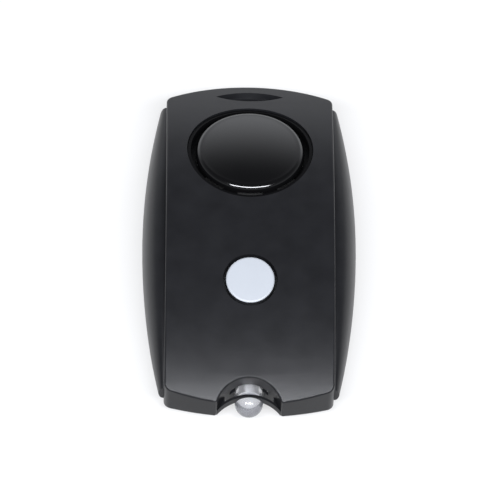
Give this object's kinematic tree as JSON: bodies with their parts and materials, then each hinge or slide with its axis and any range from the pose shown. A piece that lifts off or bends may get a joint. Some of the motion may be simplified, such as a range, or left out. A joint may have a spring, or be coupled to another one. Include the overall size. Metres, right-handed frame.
{
  "type": "personal safety alarm",
  "caption": "Arched black pocket alarm with a domed siren cap, a round push button, side grips and a clear lamp set in a notch at one end.",
  "frame": {"origin": "centre of the alarm's outline, on the flat rear face that it lies on", "axes": "+Z out of the front face, -Y towards the lamp, +X across to the right"},
  "size_m": [0.0382, 0.0674, 0.0159],
  "materials": {
    "case": "black, fine satin texture",
    "grip": "black, smoother satin",
    "gloss_black": "black, polished",
    "foam": "black closed foam",
    "brass": "rolled sheet",
    "ceramic": "silvered ceramic",
    "white": "slightly bluish white, satin",
    "switch_black": "black nylon",
    "board": "green solder mask",
    "chip": "moulded epoxy",
    "ferrite": "dark ferrite",
    "can": "drawn can",
    "cell": "nickel-plated steel",
    "spring_steel": "plated spring steel",
    "clear": "clear epoxy",
    "lead_metal": "tinned lead frame",
    "screw": "blackened steel",
    "wire": "red insulation"
  },
  "bodies": {
    "case": {"front_cover": "case", "rear_cover": "case", "right_grip": "grip", "left_grip": "grip", "siren_ring": "gloss_black", "siren_cap": "gloss_black", "siren_gasket": "foam", "piezo_plate": "brass", "piezo_ceramic": "ceramic", "siren_back": "gloss_black", "siren_wires": "wire", "switch_body": "switch_black", "circuit_board": "board", "control_chip": "chip", "boost_coil": "ferrite", "capacitor": "can", "drive_transistor": "chip", "chip_resistors": "chip", "battery_lower": "cell", "battery_upper": "cell", "battery_contact": "spring_steel", "side_clip": "spring_steel", "lamp_lens": "clear", "lamp_cup": "lead_metal", "lamp_leads": "lead_metal", "lamp_bridge": "case", "case_screws": "screw", "board_screws": "screw"},
    "button": {"light_button": "white"},
    "plunger": {"switch_plunger": "switch_black"},
    "cover": {"battery_cover": "case"}
  },
  "joints": [
    {"name": "button_press", "type": "slide", "parent": "case", "child": "button", "axis": [0, 0, -1], "range_m": [0, 0.0005], "stiffness_N_per_m": 1500, "springref_m": -0.0002},
    {"name": "plunger_press", "type": "slide", "parent": "case", "child": "plunger", "axis": [0, 0, -1], "range_m": [0, 0.0005]},
    {"name": "cover_turn", "type": "hinge", "parent": "case", "child": "cover", "pos_m": [0, 0.00025, 0], "axis": [0, 0, 1], "range_deg": [0, 30]}
  ],
  "couplings": [
    {"joint": "plunger_press", "follows": "button_press", "ratio": 1}
  ]
}
